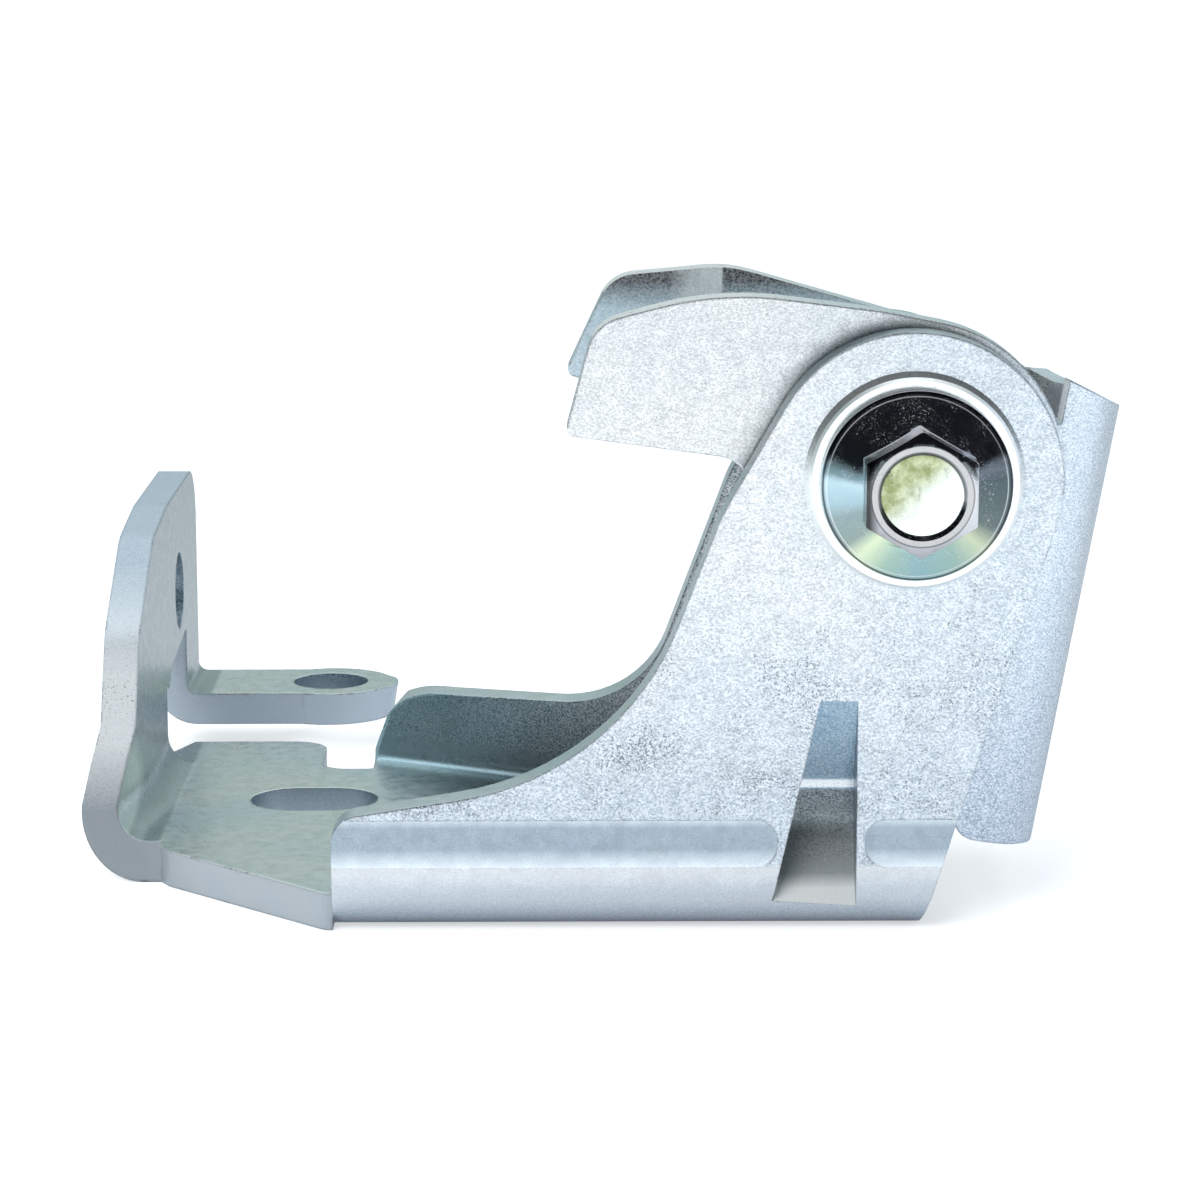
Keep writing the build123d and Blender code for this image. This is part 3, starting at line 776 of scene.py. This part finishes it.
def close_cone(shape):
    """Carries the bolt's cone on to its hexagon, where the solid has a flat step."""
    for edge in [edge for edge in shape.edges if all(on_step(vert) for vert in edge.verts)]:
        start = edge.verts[0]
        rest = edge
        for left in range(head_cuts, 0, -1):
            vert = bmesh.utils.edge_split(rest, start, 1.0 / (left + 1))[1]
            rest = [one for one in vert.link_edges if start not in one.verts][0]
            start = vert
    faces = {}
    for vert in shape.verts:
        if on_step(vert):
            faces.update(dict.fromkeys(vert.link_faces))
            vert.co.y -= (cone_reach - from_bolt(vert.co)) * cone_rise * mm
    bmesh.ops.triangulate(shape, faces=list(faces))


def rounded_copy(node, name, body, materials, zone, width, reshape):
    """A copy of a node with its sharp edges rounded, which stands for the node."""
    mesh = bpy.data.meshes.new(name)
    shape = bmesh.new()
    shape.from_mesh(frame["nodes"][node].data)
    bmesh.ops.remove_doubles(shape, verts=shape.verts, dist=weld_gap)
    for face in shape.faces:
        face.material_index = zone(face.calc_center_median() / mm, face.normal)
    bmesh.ops.dissolve_limit(
        shape, angle_limit=flat_angle, verts=shape.verts, edges=shape.edges, delimit={"MATERIAL"}
    )
    reshape(shape)
    sharp = [
        edge for edge in shape.edges
        if len(edge.link_faces) == 2 and edge.calc_face_angle(0.0) > edge_angle
    ]
    bmesh.ops.bevel(
        shape, geom=sharp, offset=width, offset_type="OFFSET", segments=2, profile=0.5,
        affect="EDGES", clamp_overlap=True, material=-1,
    )
    shape.to_mesh(mesh)
    shape.free()
    for material in materials:
        mesh.materials.append(material)
    mesh.shade_smooth()
    mesh.set_sharp_from_angle(angle=crease_angle)
    piece = link(bpy.data.objects.new(name, mesh))
    weigh = piece.modifiers.new("weigh", "WEIGHTED_NORMAL")
    weigh.keep_sharp = True
    weigh.weight = normal_weight
    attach(piece, body)
    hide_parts(node)


# Materials. On the bend at the foot of the near cheek, a painted highlight line, then painted shade that darkens
# towards the floor.
bend_painted_light = (
    ("Z", (8.6, 8.0), (0.97, 0.99, 1.00)),
    ("Z", (7.0, 5.8), (0.76, 0.84, 0.91)),
    ("Z", (4.0, 2.2), (0.44, 0.55, 0.66)),
    ("Z", (2.4, 0.8), (0.10, 0.17, 0.24)),
)
base_outer = zinc_plate(
    "zinc_outer", (0.93, 0.97, 0.99), (0.99, 0.97, 0.95), rough=0.30, specks=0.17, edge=0.4,
    painted_light=(
        # Painted shade: darker and bluer towards the right, and towards the foot
        ("X", (26.0, 48.0), (0.78, 0.88, 0.95)),
        ("Z", (50.0, 16.0), (0.66, 0.75, 0.82)),
        *bend_painted_light,
    ),
)
arm_outer = zinc_plate(
    "zinc_arm_outer", (0.94, 0.97, 0.98), (0.99, 0.98, 0.95), rough=0.30, edge=0.4,
    painted_light=(
        # Painted shade: bluer towards the back of the arm, and darker and bluer towards its foot
        ("X", (44.0, 54.0), (0.74, 0.86, 0.96)),
        ("Z", (46.0, 14.0), (0.46, 0.58, 0.73)),
    ),
)
surfaces = {
    cut: zinc_plate(
        "zinc_cut", (0.66, 0.78, 0.80), (0.74, 0.81, 0.82), rough=0.34, grit=0.4, specks=0.06, edge=0.5,
    ),
    inside: zinc_plate(
        "zinc_inside", (0.75, 0.84, 0.84), (0.85, 0.88, 0.83), rough=0.28, grit=0.14, edge=0.7,
        painted_light=(
            # Painted shade: the floor darker from the left end of the channel towards its right, and a darker band
            # on the upright's inner face
            ("X", (-26.0, -10.0), (0.14, 0.22, 0.24)),
            ("X", (-56.0, -56.5, -60.0, -60.5), (0.46, 0.52, 0.53)),
        ),
    ),
    # The cheeks' inner faces: painted shade, a dark teal copy of the zinc, darker still from the middle of the far
    # cheek to its right
    cheek_shade: zinc_plate(
        "zinc_hidden", (0.36, 0.74, 0.86), (0.42, 0.76, 0.86), rough=0.28, specks=0.12, edge=0.7, metal=0.85,
        painted_light=(
            ("X", (-22.0, -8.0), (0.14, 0.28, 0.34)),
            ("X", (-6.0, 6.0), (0.07, 0.11, 0.13)),
        ),
    ),
    # Walls of the holes, of the slot and of the dart: darker than the other cut faces, as painted shade
    wall_shade: zinc_plate("zinc_wall", (0.30, 0.47, 0.58), (0.40, 0.55, 0.66), rough=0.42, specks=0.10),
    # The dart's recess: painted shade, with a painted highlight line on its ridge, near black just below it, a
    # lighter grey lower down and a painted highlight on its foot
    dart: zinc_plate(
        "zinc_dart", (0.18, 0.31, 0.42), (0.21, 0.33, 0.42), rough=0.22, grit=0.45, specks=0.06, edge=0.3,
        painted_light=(
            ("Z", (18.0, 17.7, 16.9, 16.7), (0.95, 0.98, 1.00)),
            ("Z", (16.7, 16.4), (0.06, 0.09, 0.10)),
            ("Z", (14.0, 10.0), (0.36, 0.40, 0.41)),
            ("Z", (6.6, 5.0), (0.96, 1.00, 1.00)),
        ),
        metal=(5.0, 17.0),
    ),
    coined: zinc_plate(
        "zinc_coined", (0.38, 0.45, 0.51), (0.39, 0.46, 0.51), rough=0.26, grit=0.15,
        painted_light=(
            # Painted light on the coined bands: lighter near their top edge, and paler as they run out towards the
            # foot
            ("Z", (13.0, 14.1), (0.72, 0.78, 0.82)),
            ("Z", (10.4, 8.2), (0.90, 0.95, 0.98)),
        ),
    ),
    sheared: zinc_plate(
        "zinc_sheared", (0.49, 0.56, 0.61), (0.54, 0.58, 0.62), rough=0.42, grit=0.3, specks=0.10, edge=0.6,
        painted_light=(
            # Painted light on the cut ends: dark low down at the upright and its bend, paler higher up, one set
            # tone on the tab, and painted shade towards the top
            ("X", (-50.0, -58.5), (0.38, 0.43, 0.48)),
            ("Z", (8.0, 16.0), (0.93, 0.98, 1.00)),
            ("Y", (50.0, 54.0), (0.63, 0.72, 0.81)),
            ("Z", (24.0, 36.0), (0.45, 0.56, 0.64)),
        ),
        metal=0.25,
    ),
    lobe: zinc_plate(
        "zinc_lobe", (0.66, 0.88, 0.99), (0.72, 0.90, 0.99), rough=0.26, grit=0.65, edge=0.6,
        painted_light=(
            # Painted light on the arm's inner faces: painted shade near the top, a painted highlight band at the
            # joggle's crease, and painted shade towards the back
            ("Z", (71.5, 75.0), (0.02, 0.03, 0.04)),
            ("X", (9.0, 13.5, 16.0, 16.3), (0.94, 1.00, 1.00)),
            ("X", (40.0, 46.0), (0.14, 0.17, 0.19)),
        ),
        metal=0.25,
    ),
    # The crease at the foot of the far cheek: a painted highlight
    crease: zinc_plate(
        "zinc_crease", (0.97, 0.99, 1.00), (0.98, 0.99, 1.00), rough=0.20, grit=0.1, metal=0.5,
    ),
    back: zinc_plate(
        "zinc_back", (0.94, 0.98, 1.00), (0.96, 0.98, 1.00), rough=0.28, grit=0.5, edge=1.6,
        # The web's inner face: pale at its near bend as painted light, with painted shade towards its far side
        painted_light=(("Y", (-14.0, 6.0), (0.16, 0.20, 0.23)),),
        metal=0.1,
    ),
    rim: zinc_plate(
        "zinc_rim", (0.95, 0.98, 0.98), (0.98, 0.98, 0.96), rough=0.30, grit=0.3, edge=0.4,
        # The arm's top cut edges: pale as a painted highlight, fading to teal to the right
        painted_light=(("X", (18.0, 34.0), (0.66, 0.78, 0.80)),),
        metal=0.4,
    ),
}
plates = [surfaces[kind] for kind in range(cut, rim + 1)]
zinc_bolt = bolt_plate("zinc_bolt_plate")
zinc_nut = bright_zinc(
    "zinc_nut_plate", (0.86, 0.87, 0.82), ((0.70, 0.84, 0.72), (0.90, 0.84, 0.66)),
    rough=0.12, spread=160.0,
)
zinc_ring = bright_zinc(
    "zinc_ring_plate", (0.97, 0.98, 0.97), ((0.90, 0.95, 0.93), (0.97, 0.97, 0.95)),
    rough=0.21, spread=120.0, metal=0.85,
)
ground_steel = bright_zinc(
    "ground_steel_tube", (0.55, 0.55, 0.55), ((0.50, 0.51, 0.52), (0.60, 0.59, 0.57)),
    rough=0.25, spread=90.0,
)
bronze = bright_zinc(
    "sintered_bronze", (0.55, 0.40, 0.22), ((0.48, 0.34, 0.18), (0.62, 0.46, 0.26)),
    rough=0.45, spread=400.0,
)

# Pieces: three rounded copies, and six nodes that only get a new material
rounded_copy(
    "base_bracket", "base_stamping", "base", [base_outer, *plates], base_zone,
    edge_round, shape_base,
)
rounded_copy(
    "swing_arm", "arm_stamping", "arm", [arm_outer, *plates], arm_zone,
    edge_round, slant_web,
)
rounded_copy(
    "pivot_bolt", "flange_bolt", "base", [zinc_bolt], bolt_zone,
    bolt_round, close_cone,
)
dress("lock_nut", zinc_nut)
dress("seat_ring", zinc_ring)
dress("far_washer", zinc_ring)
dress("pivot_sleeve", ground_steel)
dress("near_bush", bronze)
dress("far_bush", bronze)

add_camera()
add_lamp()
add_floor()
add_world()
bpy.context.scene.view_settings.view_transform = "Standard"
